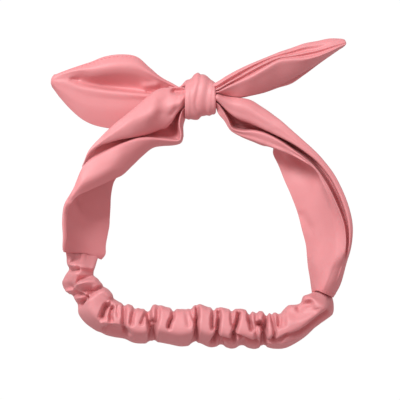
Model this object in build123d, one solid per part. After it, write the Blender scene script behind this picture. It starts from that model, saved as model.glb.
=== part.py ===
"""Knotted fabric headband with two leaf-shaped tails and a gathered elastic back.

The band lies on a table: +Z up, the head opening's axis along Z, the knot towards +Y.
Each tie is a turned tube of two jersey panels. It runs from the gathered back to the knot
as a strap, and leaves the knot as a tail. The gathered casing holds one woven elastic.
All lengths are in millimetres.
"""
import math
import os

from build123d import *

# ---- driving dimensions -------------------------------------------------------------------
PANEL_GAP = 0.2            # air between the two panels of a turned tube
FABRIC_CLEARANCE = 0.4     # between soft pieces that only lie beside each other
BAND_HEIGHT = 37.0         # how tall the flared band stands at its highest edge

KNOT_CENTRE = Vector(0, 60, 17)
KNOT_LENGTH = 21.0         # along X, the way the straps run through it
KNOT_HALF_Y = 14.5
KNOT_HALF_Z = 13.5
KNOT_ROUNDING = 4.5
CORE_HALF_Y = 8.0
CORE_HALF_Z = 7.5

PUFF_WIDTH = 23.0          # across a gather at its fullest, in the plane of the ring
PUFF_HEIGHT = 35.0
VALLEY_DEPTH = 2.6         # how far the cloth draws in all round between two gathers
PUFF_SPACING = 18.0
CASING_CORNER = 0.38       # the rounding of the casing's section, as a share of its width
CHANNEL_WIDTH = 6.0        # the free channel inside the gathers
CHANNEL_HEIGHT = 26.0

ELASTIC_THICKNESS = 1.6
ELASTIC_WIDTH = 24.0
TACK_LENGTH = 1.6          # along the elastic, past its cut end
TABLE_PRESS = 0.5          # how much the gathers flatten where they rest on the table

TAIL_PANEL = 2.2           # thickness of one tail panel, with the air it holds
PIVOT_OUT = 15.2           # from the knot's middle to a tail's pivot, along X

# Each tail from its pivot: how far out, and how far to the left or right of its fold line.
# The neck reaches back past the pivot, inside the circle that clears the knot.
LEFT_TAIL_HIGH_EDGE = [(-3.2, 2.2), (6.0, 5.0), (17.0, 14.0), (28.0, 20.0), (42.0, 20.5), (60.0, 13.5),
                       (77.5, 2.6)]
LEFT_TAIL_LOW_EDGE = [(-3.2, -2.2), (8.0, -6.5), (24.0, -20.0), (42.0, -25.0), (56.0, -20.5), (68.0, -11.0),
                      (77.5, -1.4)]
RIGHT_TAIL_HIGH_EDGE = [(-3.2, 2.2), (8.0, 5.6), (30.0, 6.9), (56.0, 7.1), (72.0, 5.0), (78.5, 2.0)]
RIGHT_TAIL_LOW_EDGE = [(-3.2, -2.2), (8.0, -8.0), (20.0, -11.6), (33.0, -13.0), (46.0, -11.0), (62.0, -5.6),
                       (78.5, -1.8)]

THREAD_RADIUS = 0.22
STITCH_LENGTH = 2.2
HEM_ROOM = 0.25            # between a strap's cut end and the stitches that close it

# ---- the route of the gathered back, seen from above ---------------------------------------
CASING_ROUTE = [(-72.8, -39.4), (-75.8, -62.0), (-56.0, -80.0), (-20.0, -83.5), (20.0, -85.5),
                (54.0, -84.0), (74.6, -76.0), (75.8, -65.2)]
CASING_RADII = [17, 30, 60, 70, 40, 11]
CASING_CUTS = (0.31, 0.69)     # where the left and right stretches of the back end, along it

# ---- strap stations: inner low edge, outer high edge, whole thickness -----------------------
LEFT_STRAP = [
    ((-11.0, 39.0, 9.5), (-11.0, 64.0, 27.0), 9.0),
    ((-23.0, 31.0, 9.5), (-25.0, 62.5, 31.0), 8.5),
    ((-39.0, 20.0, 8.5), (-47.0, 47.5, 35.0), 7.0),
    ((-51.0, 8.0, 5.0), (-66.0, 29.5, BAND_HEIGHT), 6.0),
    ((-56.0, -6.0, 1.0), (-79.5, 2.5, BAND_HEIGHT), 5.2),
    ((-58.0, -22.0, 0.8), (-84.5, -18.0, BAND_HEIGHT), 4.8),
    ((-61.5, -39.0, 2.0), (-83.4, -36.6, BAND_HEIGHT - 1), 4.8),
]
RIGHT_STRAP = [
    ((11.0, 46.0, 8.0), (11.0, 60.5, 28.0), 9.0),
    ((22.0, 37.0, 6.5), (28.0, 57.0, 33.0), 8.5),
    ((40.0, 26.5, 3.5), (51.0, 43.5, 36.0), 7.0),
    ((52.0, 8.0, 1.0), (75.0, 19.5, BAND_HEIGHT), 5.6),
    ((58.5, -12.0, 0.8), (89.5, -7.5, BAND_HEIGHT), 4.8),
    ((64.0, -32.0, 0.8), (91.5, -29.0, BAND_HEIGHT), 4.8),
    ((67.0, -49.0, 0.8), (87.6, -50.0, BAND_HEIGHT), 4.8),
    ((69.6, -62.6, 2.0), (81.6, -64.6, BAND_HEIGHT - 1), 4.8),
]


def stations(edges):
    """Centre, width direction, travel direction, width and thickness of each strap station."""
    centres = [(Vector(*low) + Vector(*high)) * 0.5 for low, high, _ in edges]
    last = len(edges) - 1
    found = []
    for i, (low, high, thick) in enumerate(edges):
        across = Vector(*high) - Vector(*low)
        travel = centres[min(i + 1, last)] - centres[max(i - 1, 0)]
        width_dir = across.normalized()
        travel = (travel - width_dir * travel.dot(width_dir)).normalized()
        found.append((centres[i], width_dir, travel, across.length, thick))
    return found


def strap_panel(edges, side):
    """One of a strap's two panels. Side is 1 for the panel on the +local Y side, -1 for the other."""
    sections = []
    for centre, width_dir, travel, width, thick in stations(edges):
        leaf = (thick - PANEL_GAP) / 2
        plane = Plane(origin=centre, x_dir=width_dir, z_dir=travel)
        profile = Pos(0, side * (leaf + PANEL_GAP) / 2) * RectangleRounded(width, leaf, leaf * 0.42)
        sections.append(plane * profile)
    knot_room = knot_cylinder(KNOT_HALF_Y + PANEL_GAP, KNOT_HALF_Z + PANEL_GAP)
    return above_table(loft(sections)) - knot_room


def above_table(solid):
    """The solid with whatever lies under the table plane taken off, so that it rests flat."""
    return solid & Pos(0, 0, 100) * Box(400, 400, 200)


def knot_wrap():
    """The turn of the tie that is pulled round the other one."""
    turn = knot_cylinder(KNOT_HALF_Y, KNOT_HALF_Z)
    rims = turn.edges().filter_by(GeomType.ELLIPSE)
    return fillet(rims, KNOT_ROUNDING) - knot_cylinder(CORE_HALF_Y + PANEL_GAP, CORE_HALF_Z + PANEL_GAP)


def knot_cylinder(half_y, half_z):
    """An elliptical cylinder along X about the knot's centre."""
    plane = Plane(origin=KNOT_CENTRE - Vector(KNOT_LENGTH / 2, 0, 0), x_dir=(0, 1, 0), z_dir=(1, 0, 0))
    return extrude(plane * Ellipse(half_y, half_z), KNOT_LENGTH)


def casing_route():
    """The centre line of the gathered back, as runs and tangent arcs at mid height."""
    points = [Vector(x, y, PUFF_HEIGHT / 2 - TABLE_PRESS) for x, y in CASING_ROUTE]
    return FilletPolyline(*points, radius=CASING_RADII)


def section_plane(route, t):
    """The plane across the route at t, with its X upwards."""
    return Plane(origin=route @ t, x_dir=Vector(0, 0, 1), z_dir=route % t)


def gathered_stretch(low, high):
    """The casing between two places on its route: full at its gathers, drawn in between them."""
    route = casing_route()
    gathers = max(1, round(route.length * (high - low) / PUFF_SPACING))
    room = PANEL_GAP / 2 / route.length
    sections = []
    for i in range(4 * gathers + 1):
        fullness = (1 - math.cos(2 * math.pi * i / 4)) / 2
        draw = VALLEY_DEPTH * (1 - fullness)
        width = PUFF_WIDTH - 2 * draw
        t = low + room + (high - low - 2 * room) * i / (4 * gathers)
        profile = RectangleRounded(PUFF_HEIGHT - 2 * draw, width, width * CASING_CORNER)
        sections.append(section_plane(route, t) * profile)
    return loft(sections)


def along_route(profile, low, high):
    """The profile swept along the back between two places on its route."""
    route = casing_route()
    room = PANEL_GAP / 2 / route.length
    piece = route.trim(low + room, high - room)
    return sweep(section_plane(piece, 0) * profile, path=piece)


def in_three(make):
    """What make gives for the back's left, middle and right stretches."""
    first, second = CASING_CUTS
    return make(0, first), make(first, second), make(second, 1)


def casing_stretch(low, high):
    """One stretch of casing with the elastic's channel through it."""
    channel = RectangleRounded(CHANNEL_HEIGHT, CHANNEL_WIDTH, CHANNEL_WIDTH * 0.45)
    past = 0.01
    bore = along_route(channel, max(low - past, 0), min(high + past, 1))
    return above_table(gathered_stretch(low, high)) - bore


def elastic_stretch(low, high):
    """One stretch of the flat woven elastic, which stops short of the casing's two ends."""
    inset = (TACK_LENGTH + 3 * PANEL_GAP) / casing_route().length
    weave = Rectangle(ELASTIC_WIDTH, ELASTIC_THICKNESS)
    return along_route(weave, max(low, inset), min(high, 1 - inset))


def elastic_tack(end):
    """The bar of zigzag thread at one end of the elastic: end 0 on the left, 1 on the right."""
    route = casing_route()
    share = (TACK_LENGTH / 2 + PANEL_GAP) / route.length
    plane = section_plane(route, share if end == 0 else 1 - share)
    return plane * Box(ELASTIC_WIDTH - 4, ELASTIC_THICKNESS, TACK_LENGTH)


def tail_outline(high_edge, low_edge):
    """A leaf with a narrow neck at the pivot and a blunt point, along +X from the pivot."""
    high = Spline(*high_edge)
    low = Spline(*low_edge)
    return make_face([high, Line(high @ 1, low @ 1), low, Line(low @ 0, high @ 0)])


def folded_layer(low, high, slope):
    """A long sheet folded along X with its ridge up, between two heights above the ridge line."""
    reach, rise = 40.0, math.tan(math.radians(slope))
    steep = math.cos(math.radians(slope))
    bottom, top = low / steep, high / steep
    drop = reach * rise
    corners = [(-reach, bottom - drop), (0, bottom), (reach, bottom - drop),
               (reach, top - drop), (0, top), (-reach, top - drop)]
    start = Plane(origin=(-10, 0, 0), x_dir=(0, 1, 0), z_dir=(1, 0, 0))
    return extrude(start * make_face(Polyline(*corners, close=True)), 120)


class Tail:
    """Where a tail's pivot is, which way it points, how far it is folded, and its two edges."""

    def __init__(self, pivot, heading, slope, high_edge, low_edge, mirrored):
        self.place = Location(pivot) * Rotation(0, 0, heading)
        self.slope = slope
        self.edges = [high_edge, low_edge]
        if mirrored:
            self.edges = [[(x, -y) for x, y in edge] for edge in self.edges]

    def panel(self, face):
        """The front panel for face 1 and the back one for face -1."""
        low, high = (PANEL_GAP / 2, PANEL_GAP / 2 + TAIL_PANEL) if face > 0 else (
            -PANEL_GAP / 2 - TAIL_PANEL, -PANEL_GAP / 2)
        leaf = extrude(tail_outline(*self.edges), 60, both=True)
        return self.place * (leaf & folded_layer(low, high, self.slope))

    def seam(self, count=12):
        """The row of stitches just outside the tail's high edge."""
        edge = Spline(*self.edges[0])
        side = 1 if self.edges[0][1][1] > 0 else -1
        fall = math.tan(math.radians(self.slope))
        points = []
        for i in range(count + 1):
            at = edge @ (0.3 + 0.6 * i / count)
            out = at.Y + side * (THREAD_RADIUS + FABRIC_CLEARANCE)
            points.append(Vector(at.X, out, -abs(out) * fall))
        return self.place * stitch_row(points)


LEFT_TAIL = Tail(Vector(-PIVOT_OUT, 65.5, 8.4), 176.5, 12, LEFT_TAIL_HIGH_EDGE, LEFT_TAIL_LOW_EDGE, True)
RIGHT_TAIL = Tail(Vector(PIVOT_OUT, 67.0, 24.0), 19.4, 50, RIGHT_TAIL_HIGH_EDGE, RIGHT_TAIL_LOW_EDGE, False)


def stitch(at, along):
    """One thread stitch lying on the fabric."""
    along = along.normalized()
    plane = Plane(origin=at - along * (STITCH_LENGTH / 2), z_dir=along)
    return extrude(plane * Circle(THREAD_RADIUS), STITCH_LENGTH)


def stitch_row(points):
    """A row of separate stitches, one from each point towards the next."""
    return Compound([stitch(a, b - a) for a, b in zip(points, points[1:])])


def hem_stitches(edges, count=9):
    """The row that closes a strap's end over the casing, in the hair of room between the two."""
    centre, width_dir, travel, width, _ = stations(edges)[-1]
    first = centre + travel * (THREAD_RADIUS + HEM_ROOM) - width_dir * (width * 0.36)
    step = width_dir * (width * 0.72 / count)
    return stitch_row([first + step * i for i in range(count + 1)])


def edge_stitches(edges, count=14):
    """The seam that joins a strap's two panels, along its high edge."""
    found = stations(edges)[2:]
    high = [c + w * (width / 2 + THREAD_RADIUS + FABRIC_CLEARANCE) for c, w, _, width, _ in found]
    line = Spline(*high)
    inset = 0.06
    return stitch_row([line @ (inset + (1 - 2 * inset) * i / count) for i in range(count + 1)])


def casing_stitches(count=22):
    """The casing's long seam, on its outside near the table, along the middle stretch."""
    route = casing_route()
    out = PUFF_WIDTH / 2 + THREAD_RADIUS + PANEL_GAP
    points = []
    for i in range(count + 1):
        t = CASING_CUTS[0] + 0.02 + (CASING_CUTS[1] - CASING_CUTS[0] - 0.04) * i / count
        along = route % t
        outward = Vector(along.Y, -along.X, 0).normalized()
        points.append((route @ t) + outward * out - Vector(0, 0, PUFF_HEIGHT * 0.1))
    return stitch_row(points)


def build():
    """Every node's shape by name."""
    back_left, back_middle, back_right = in_three(casing_stretch)
    elastic_left, elastic_middle, elastic_right = in_three(elastic_stretch)
    return {
        "knot_wrap": knot_wrap(),
        "knot_core": knot_cylinder(CORE_HALF_Y, CORE_HALF_Z),
        "left_strap_outer_panel": strap_panel(LEFT_STRAP, 1),
        "left_strap_inner_panel": strap_panel(LEFT_STRAP, -1),
        "right_strap_outer_panel": strap_panel(RIGHT_STRAP, -1),
        "right_strap_inner_panel": strap_panel(RIGHT_STRAP, 1),
        "left_strap_edge_stitches": edge_stitches(LEFT_STRAP),
        "right_strap_edge_stitches": edge_stitches(RIGHT_STRAP),
        "left_hem_stitches": hem_stitches(LEFT_STRAP),
        "right_hem_stitches": hem_stitches(RIGHT_STRAP),
        "casing_left": back_left,
        "casing_middle": back_middle,
        "casing_right": back_right,
        "casing_seam_stitches": casing_stitches(),
        "elastic_left": elastic_left,
        "elastic_middle": elastic_middle,
        "elastic_right": elastic_right,
        "left_elastic_tack": elastic_tack(0),
        "right_elastic_tack": elastic_tack(1),
        "left_tail_front_panel": LEFT_TAIL.panel(1),
        "left_tail_back_panel": LEFT_TAIL.panel(-1),
        "left_tail_seam_stitches": LEFT_TAIL.seam(),
        "right_tail_front_panel": RIGHT_TAIL.panel(1),
        "right_tail_back_panel": RIGHT_TAIL.panel(-1),
        "right_tail_seam_stitches": RIGHT_TAIL.seam(),
    }


def extent(nodes):
    """The lowest and highest corner of all the shapes."""
    points = [point for shape in nodes.values() for point in shape.tessellate(0.05)[0]]
    low = Vector(*(min(getattr(p, axis) for p in points) for axis in "XYZ"))
    high = Vector(*(max(getattr(p, axis) for p in points) for axis in "XYZ"))
    return low, high


def main():
    """Writes every node, moved so that the origin is the middle of the model's underside."""
    nodes = build()
    low, high = extent(nodes)
    to_origin = Pos(-(low.X + high.X) / 2, -(low.Y + high.Y) / 2, -low.Z)
    os.makedirs("parts", exist_ok=True)
    for name, shape in nodes.items():
        export_step(to_origin * shape, f"parts/{name}.step")
    print("moved by", *to_origin.position, "size", *(high - low))


main()
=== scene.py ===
"""The looks of a knotted jersey headband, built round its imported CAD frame.

The ties are sculpted from ribs: curves across the cloth, each through a few points. The knot and
the casing follow outlines seen from above, and folds are drawn into them along lines.
Rib points are (x, y, z) in millimetres, x and y from the middle of the knot, z from the table.
"""
import math

import bpy
import numpy as np
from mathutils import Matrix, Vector


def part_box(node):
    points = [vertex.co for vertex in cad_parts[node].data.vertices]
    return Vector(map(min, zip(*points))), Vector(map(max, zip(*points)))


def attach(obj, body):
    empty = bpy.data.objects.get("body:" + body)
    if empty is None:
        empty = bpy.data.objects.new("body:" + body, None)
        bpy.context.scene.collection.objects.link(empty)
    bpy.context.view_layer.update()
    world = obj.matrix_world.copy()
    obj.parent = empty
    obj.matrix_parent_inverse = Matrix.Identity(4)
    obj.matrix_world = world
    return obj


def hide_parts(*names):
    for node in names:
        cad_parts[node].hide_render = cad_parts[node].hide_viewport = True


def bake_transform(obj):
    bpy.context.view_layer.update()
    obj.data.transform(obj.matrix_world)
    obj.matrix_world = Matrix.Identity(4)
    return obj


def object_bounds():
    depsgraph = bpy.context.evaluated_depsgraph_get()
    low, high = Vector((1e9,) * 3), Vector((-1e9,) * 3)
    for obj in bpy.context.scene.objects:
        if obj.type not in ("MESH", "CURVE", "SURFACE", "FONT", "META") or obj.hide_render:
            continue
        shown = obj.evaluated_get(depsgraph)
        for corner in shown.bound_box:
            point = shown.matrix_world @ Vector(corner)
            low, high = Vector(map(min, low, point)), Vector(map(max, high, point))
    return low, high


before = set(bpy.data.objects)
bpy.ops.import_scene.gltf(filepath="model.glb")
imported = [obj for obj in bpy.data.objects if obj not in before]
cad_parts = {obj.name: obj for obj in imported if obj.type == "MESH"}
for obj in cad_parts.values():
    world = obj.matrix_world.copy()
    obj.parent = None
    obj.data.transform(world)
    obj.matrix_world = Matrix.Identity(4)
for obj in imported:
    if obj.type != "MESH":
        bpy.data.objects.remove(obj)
cad_low, cad_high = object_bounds()

# ---- the frame the pieces are placed by --------------------------------------------------------
MM = 0.001
knot_low, knot_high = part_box("knot_wrap")
ORIGIN = np.array([(knot_low[0] + knot_high[0]) / 2, (knot_low[1] + knot_high[1]) / 2, cad_low[2]])
CLOTH = 0.7            # thickness of a flattened tie: two layers of jersey, in mm
JERSEY_LAYER = 0.6     # thickness of one layer where it stands alone
STEP = 0.8             # spacing of the sculpted meshes along their ribs' row, in mm
CLOSE_STEP = 0.5       # and along each rib, where the folds are
SPINE_SAMPLES = 12     # points per rib that a sheet's own length is measured with
RIB_SAMPLES = 16       # points that a rib's length is measured with, for each of its own
FULL_PRESS = 2.5       # a dent presses fully where the normal's upward part is over 1 / FULL_PRESS
ROOM_USED = 0.8        # the share of the way to its centre that a fold may draw a point


# ---- curves and meshes --------------------------------------------------------------------------
def place(point):
    """A rib point as metres in the frame."""
    return tuple(np.asarray(point, float) * MM + ORIGIN)


def through(points, places):
    """A smooth curve through the points, read at places from 0 to the last point's number."""
    points = np.asarray(points, float)
    last = len(points) - 1
    slopes = np.gradient(points, axis=0)
    cell = np.clip(np.floor(places).astype(int), 0, last - 1)
    t = (np.asarray(places) - cell).reshape((-1,) + (1,) * (points.ndim - 1))
    a, b, da, db = points[cell], points[cell + 1], slopes[cell], slopes[cell + 1]
    return (a * (2 * t**3 - 3 * t**2 + 1) + b * (3 * t**2 - 2 * t**3)
            + da * (t**3 - 2 * t**2 + t) + db * (t**3 - t**2))


def lengths(curve):
    """How far along the curve each of its points lies."""
    return np.concatenate([[0], np.cumsum(np.linalg.norm(np.diff(curve, axis=0), axis=1))])


def upright(x, *points):
    """A rib whose points all have the same x. They are given as (y, z)."""
    return [(x, y, z) for y, z in points]


def edge_spaced(total, step, edge):
    """Places from 0 to total, a step apart, closer together within edge of both ends."""
    close = edge * np.array([0, 0.06, 0.2, 0.42, 0.7, 1.0])    # for the rounding of the edge
    inner = np.linspace(edge, total - edge, max(4, int(round((total - 2 * edge) / step))))
    return np.concatenate([close[:-1], inner, total - close[-2::-1]])


def respaced(curve, places):
    """The curve read again at those distances along it."""
    along = lengths(curve)
    places = np.clip(places, 0, along[-1])
    return np.stack([np.interp(places, along, curve[:, k]) for k in range(3)], axis=1)


def lofted(ribs, edge=1.0):
    """A grid of points on the smooth sheet through the ribs, evenly spaced along and across."""
    ribs = np.asarray(ribs, float)
    fine = through(ribs, np.linspace(0, len(ribs) - 1, SPINE_SAMPLES * len(ribs)))
    spine = fine.mean(axis=1)
    run = lengths(spine)
    rows = edge_spaced(run[-1], STEP, edge)
    places = np.interp(rows, run, np.linspace(0, len(ribs) - 1, len(fine)))
    ribs = through(ribs, places)
    dense = [through(rib, np.linspace(0, len(rib) - 1, RIB_SAMPLES * len(rib))) for rib in ribs]
    widths = np.array([lengths(rib)[-1] for rib in dense])
    shares = edge_spaced(widths.max(), CLOSE_STEP, edge) / widths.max()
    return np.stack([respaced(rib, shares * width) for rib, width in zip(dense, widths)])


def grid_normals(grid):
    """The unit normal at each point of a grid."""
    normal = np.cross(np.gradient(grid, axis=0), np.gradient(grid, axis=1))
    return normal / np.maximum(np.linalg.norm(normal, axis=2, keepdims=True), 1e-9)


def smoothed(grid, times):
    """The grid with every inner point moved towards its neighbours' middle, that many times."""
    grid = grid.copy()
    for _ in range(times):
        middle = (grid[:-2, 1:-1] + grid[2:, 1:-1] + grid[1:-1, :-2] + grid[1:-1, 2:]) / 4
        grid[1:-1, 1:-1] = 0.5 * grid[1:-1, 1:-1] + 0.5 * middle
    return grid


def rounded_half(grid, thick):
    """Half the sheet's thickness at each grid point, rounded off to nothing at its four edges.

    It also gives how far along and across the sheet each point is.
    """
    radius = thick / 2
    across = np.linalg.norm(np.diff(grid, axis=1), axis=2)
    along = np.linalg.norm(np.diff(grid, axis=0), axis=2)
    v = np.concatenate([np.zeros((len(grid), 1)), np.cumsum(across, axis=1)], axis=1)
    u = np.concatenate([np.zeros((1, grid.shape[1])), np.cumsum(along, axis=0)], axis=0)
    near = np.minimum(np.minimum(v, v[:, -1:] - v), np.minimum(u, u[-1:] - u))
    inside = np.clip(near / radius, 0, 1)
    return radius * np.sqrt(np.maximum(0, 1 - (1 - inside) ** 2)), u, v


def make_object(name, points, faces, uvs, material):
    """A smooth-shaded mesh object. Points are in rib millimetres, and uvs one pair for each point."""
    mesh = bpy.data.meshes.new(name)
    mesh.from_pydata((np.asarray(points) * MM + ORIGIN).tolist(), [], faces)
    layer = mesh.uv_layers.new(name="cloth")
    corners = np.empty(len(mesh.loops), int)
    mesh.loops.foreach_get("vertex_index", corners)
    layer.data.foreach_set("uv", np.asarray(uvs, np.float32)[corners].ravel())
    mesh.polygons.foreach_set("use_smooth", [True] * len(mesh.polygons))
    mesh.materials.append(material)
    mesh.validate()
    obj = bpy.data.objects.new(name, mesh)
    bpy.context.collection.objects.link(obj)
    return obj


def grid_faces(rows, columns, start=0, flip=False, wrap=False):
    """The quads of a grid whose points are numbered row by row."""
    faces = []
    for i in range(rows - 1):
        for j in range(columns if wrap else columns - 1):
            k = (j + 1) % columns
            quad = [start + i * columns + j, start + i * columns + k,
                    start + (i + 1) * columns + k, start + (i + 1) * columns + j]
            faces.append(quad[::-1] if flip else quad)
    return faces


def cloth_object(name, grid, material, thick=CLOTH, side=1):
    """A closed piece of cloth with rounded edges: the grid is its outer face, the rest lies behind it.

    Side is 1 where the grid's own normals point out of the outer face, and -1 where they point in.
    """
    half, u, v = rounded_half(grid, thick)
    normals = grid_normals(grid) * side
    rows, columns = grid.shape[:2]
    middle = grid - normals * thick / 2
    top = middle + normals * half[..., None]
    under = middle - normals * half[..., None]
    rim = np.zeros((rows, columns), bool)
    rim[[0, -1], :] = rim[:, [0, -1]] = True
    number = np.arange(rows * columns).reshape(rows, columns)
    below = number.copy()
    below[~rim] = rows * columns + np.arange((~rim).sum())
    points = np.concatenate([top.reshape(-1, 3), under[~rim]])
    uvs = np.stack([u, v], axis=2)
    uvs = np.concatenate([uvs.reshape(-1, 2), uvs[~rim]])
    faces = []
    for i in range(rows - 1):
        for j in range(columns - 1):
            upper = [number[i, j], number[i + 1, j], number[i + 1, j + 1], number[i, j + 1]]
            lower = [below[i, j], below[i, j + 1], below[i + 1, j + 1], below[i + 1, j]]
            faces += [upper, lower] if side > 0 else [upper[::-1], lower[::-1]]
    return make_object(name, points, np.array(faces).tolist(), uvs, material)


def leaning(points, line, depth, before, after, power=2):
    """How deep a fold is at each point: width before on the line's left, and after on its right.

    A higher power gives the fold steeper walls and a flatter floor.
    """
    plan = points[..., :2]
    nearest = np.full(plan.shape[:-1], 1e9)
    side = np.ones(plan.shape[:-1])
    line = np.asarray(line, float)
    for a, b in zip(line[:-1], line[1:]):
        run = b - a
        t = np.clip(((plan - a) @ run) / (run @ run), 0, 1)
        offset = plan - (a + t[..., None] * run)
        away = np.linalg.norm(offset, axis=-1)
        cross = run[0] * offset[..., 1] - run[1] * offset[..., 0]
        closer = away < nearest
        nearest = np.where(closer, away, nearest)
        side = np.where(closer, cross, side)
    width = np.where(side > 0, before, after)
    return depth * np.exp(-((nearest / width) ** power))


def dented(grid, dents, side):
    """The grid pressed straight down along each dent's line, wherever its outer face looks up."""
    facing = np.clip(FULL_PRESS * side * grid_normals(grid)[..., 2], 0, 1)
    push = sum(leaning(grid, *dent) for dent in dents)
    return grid - np.stack([0 * push, 0 * push, push * facing], axis=2)


def drawn_in(points, folds, centres, most, sideways=1, power=2, share=1):
    """Points moved towards their section's centre where folds run over them, by at most that much.

    Sideways is how much of the level part of the movement is kept, and share how much of all of it.
    """
    push = share * sum(leaning(points, *fold, power) for fold in folds)
    inward = centres - points
    room = np.linalg.norm(inward, axis=-1)
    most = np.minimum(most, ROOM_USED * room)
    push = np.where(push > 0, most * (1 - np.exp(-np.maximum(push, 0) / np.maximum(most, 1e-6))), push)
    inward = inward / np.maximum(room, 1e-6)[..., None]
    moved = inward * push[..., None]
    moved[..., :2] *= np.broadcast_to(sideways, push.shape)[..., None]
    return points + moved


def stitched(name, path, material, length=1.7, gap=0.9, thick=0.2):
    """A row of stitches along a path on the cloth, each a short thread that dips in at its ends."""
    run = lengths(path)
    starts = np.arange(gap, run[-1] - length - gap, length + gap)
    points, faces = [], []
    rise = [-0.25, 0.12, 0.2, 0.12, -0.25]
    swell = [0.5, 0.9, 1, 0.9, 0.5]
    rings, sides = len(rise), 6
    angles = np.linspace(0, 2 * math.pi, sides, endpoint=False)
    for start in starts:
        spine = respaced(path, start + np.linspace(0, length, rings))
        along = (spine[-1] - spine[0]) / max(np.linalg.norm(spine[-1] - spine[0]), 1e-6)
        across = np.cross(along, [0, 0, 1.0])
        across = across / max(np.linalg.norm(across), 1e-6)
        upward = np.cross(across, along)
        base = len(points)
        for centre, lift, size in zip(spine, rise, swell):
            for angle in angles:
                points.append(centre + upward * lift + thick * size
                              * (across * math.cos(angle) + upward * math.sin(angle)))
        faces += grid_faces(rings, sides, start=base, wrap=True)
        faces += [list(range(base, base + sides))[::-1], list(range(len(points) - sides, len(points)))]
    return make_object(name, points, faces, np.asarray(points)[:, :2], material)


# ---- materials -----------------------------------------------------------------------------------
def node(tree, kind, **inputs):
    """A shader node with its inputs set by name, from values or from other nodes' outputs."""
    made = tree.nodes.new(kind)
    for key, value in inputs.items():
        socket = made.inputs[key.replace("_", " ")]
        if isinstance(value, bpy.types.NodeSocket):
            tree.links.new(value, socket)
        else:
            socket.default_value = value
    return made


def blank_material(name):
    """A material whose node tree is empty, and the tree."""
    material = bpy.data.materials.new(name)
    material.use_nodes = True
    material.node_tree.nodes.clear()
    return material, material.node_tree


def cloth_uv(tree):
    """The cloth's own coordinates, in millimetres along and across it."""
    uv = tree.nodes.new("ShaderNodeUVMap")
    uv.uv_map = "cloth"
    return uv.outputs["UV"]


def waves(tree, direction, **inputs):
    """Bands of waves across that direction, from 0 to 1."""
    made = node(tree, "ShaderNodeTexWave", **inputs)
    made.bands_direction = direction
    return made.outputs["Fac"]


def two_tone(tree, share, low, high, start=0, end=1):
    """The colour between low and high, as the share runs from start to end."""
    ramp = node(tree, "ShaderNodeValToRGB", Fac=share)
    for element, colour, position in zip(ramp.color_ramp.elements, (low, high), (start, end)):
        element.color = colour
        element.position = position
    return ramp.outputs["Color"]


def bumped(tree, height, strength, distance, **inputs):
    """The normal that a bump of that height gives."""
    made = node(tree, "ShaderNodeBump", Height=height, Strength=strength, Distance=distance, **inputs)
    return made.outputs["Normal"]


def surface(tree, **inputs):
    """The tree's surface: a principled shader with those inputs."""
    shader = node(tree, "ShaderNodeBsdfPrincipled", **inputs)
    node(tree, "ShaderNodeOutputMaterial", Surface=shader.outputs["BSDF"])


def jersey_material(name, colour, deep):
    """Smooth pink jersey: fine knit columns, a soft sheen, and a slight change of tone."""
    material, tree = blank_material(name)
    position = tree.nodes.new("ShaderNodeTexCoord").outputs["Object"]
    uv = cloth_uv(tree)
    tone = node(tree, "ShaderNodeTexNoise", Vector=position, Scale=45.0, Detail=4.0).outputs["Fac"]
    columns = waves(tree, "Y", Vector=uv, Scale=0.45, Distortion=1.2, Detail=1.0, Detail_Scale=2.0)
    grain = node(tree, "ShaderNodeTexNoise", Vector=uv, Scale=2.6, Detail=3.0).outputs["Fac"]
    fine = bumped(tree, columns, 0.10, 0.0002)
    surface(tree, Base_Color=two_tone(tree, tone, deep, colour, 0.3, 0.7), Roughness=0.5,
            Normal=bumped(tree, grain, 0.16, 0.0003, Normal=fine), Specular_IOR_Level=0.5,
            Sheen_Weight=0.06, Sheen_Roughness=0.4, Sheen_Tint=(1.0, 0.82, 0.82, 1.0),
            Subsurface_Weight=0.12, Subsurface_Radius=(1.0, 0.25, 0.25), Subsurface_Scale=0.002)
    return material


def thread_material(name, colour):
    """Polyester sewing thread: smooth, with a fine twist."""
    material, tree = blank_material(name)
    position = tree.nodes.new("ShaderNodeTexCoord").outputs["Object"]
    twist = waves(tree, "DIAGONAL", Vector=position, Scale=900.0, Distortion=2.0)
    surface(tree, Base_Color=colour, Roughness=0.42, Normal=bumped(tree, twist, 0.4, 0.0001))
    return material


def elastic_material(name):
    """White woven elastic: cross threads over lengthwise ribs, a little uneven in tone."""
    material, tree = blank_material(name)
    weft = waves(tree, "X", Vector=cloth_uv(tree), Scale=0.55, Distortion=0.6, Detail=1.0)
    colour = two_tone(tree, weft, (0.62, 0.60, 0.58, 1), (0.86, 0.85, 0.83, 1))
    surface(tree, Base_Color=colour, Roughness=0.7, Normal=bumped(tree, weft, 0.5, 0.0003))
    return material


JERSEY = jersey_material("pink_jersey", (0.76, 0.335, 0.35, 1), (0.735, 0.31, 0.325, 1))
THREAD = thread_material("pink_thread", (0.80, 0.28, 0.30, 1))
ELASTIC = elastic_material("white_elastic")

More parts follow.
